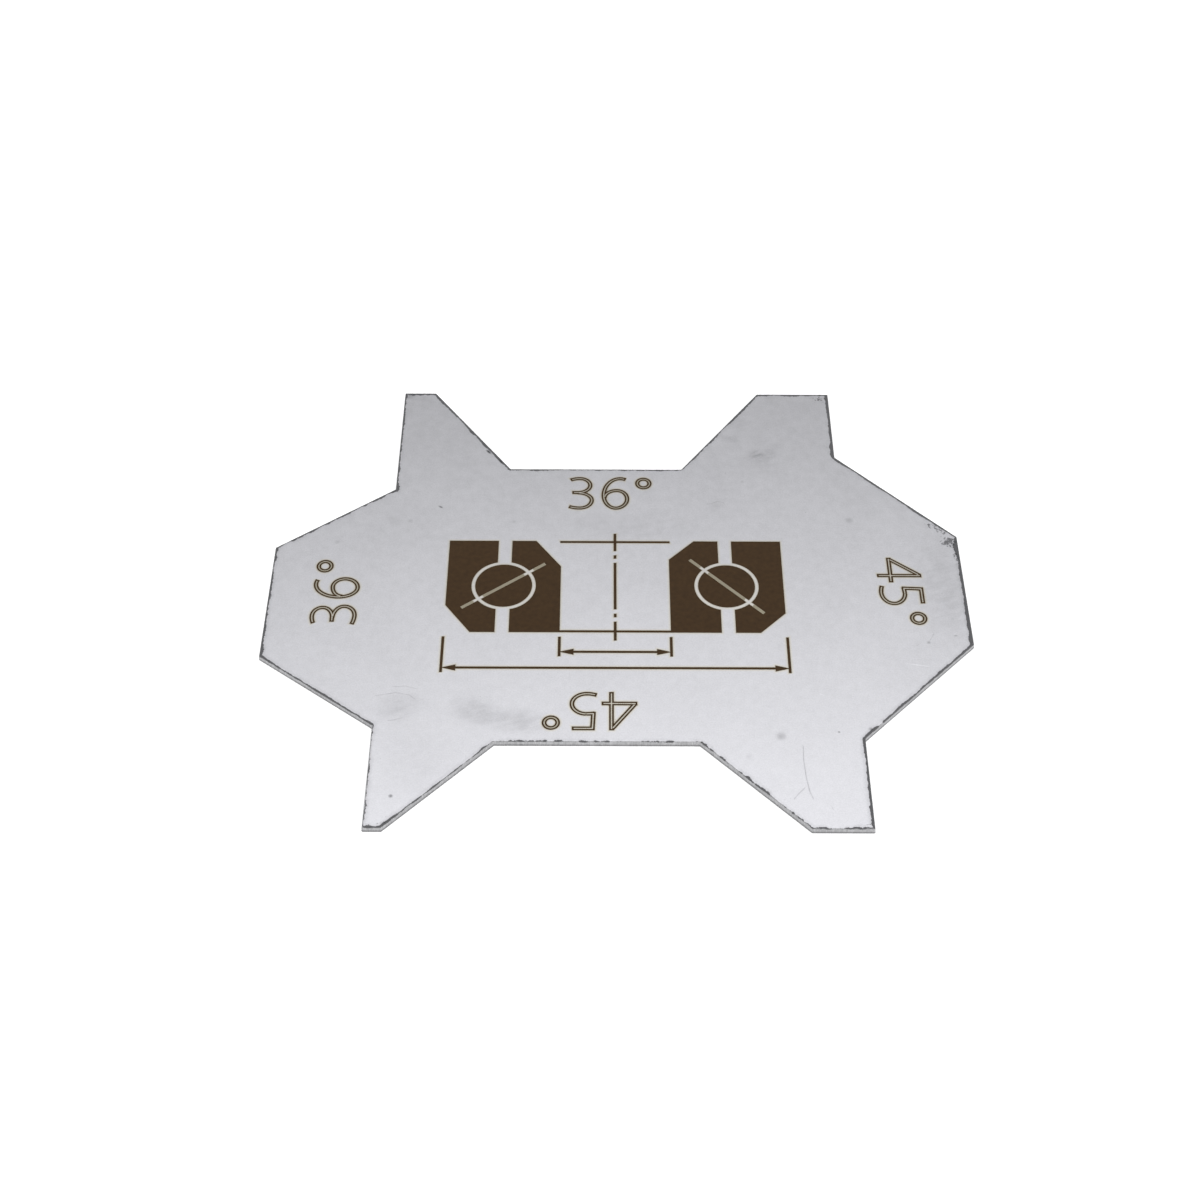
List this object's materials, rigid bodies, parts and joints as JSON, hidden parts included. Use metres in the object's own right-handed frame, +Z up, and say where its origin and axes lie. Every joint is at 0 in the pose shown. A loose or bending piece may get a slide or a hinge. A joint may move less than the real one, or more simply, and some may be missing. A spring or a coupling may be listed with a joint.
{
  "type": "bearing angle gauge",
  "caption": "Flat steel sheet gauge with notches and tapered ends at two angles, for reading the contact angle of headset bearings.",
  "frame": {"origin": "middle of the bounding box, on the underside of the sheet", "axes": "+X along the length, towards the end with the larger angle; +Y towards the notch with the smaller angle; +Z up, out of the marked face"},
  "size_m": [0.12, 0.1, 0.001],
  "materials": {
    "stainless_sheet": "satin mill finish, laser cut and laser marked"
  },
  "bodies": {
    "root": {"gauge_plate": "stainless_sheet"}
  },
  "joints": []
}
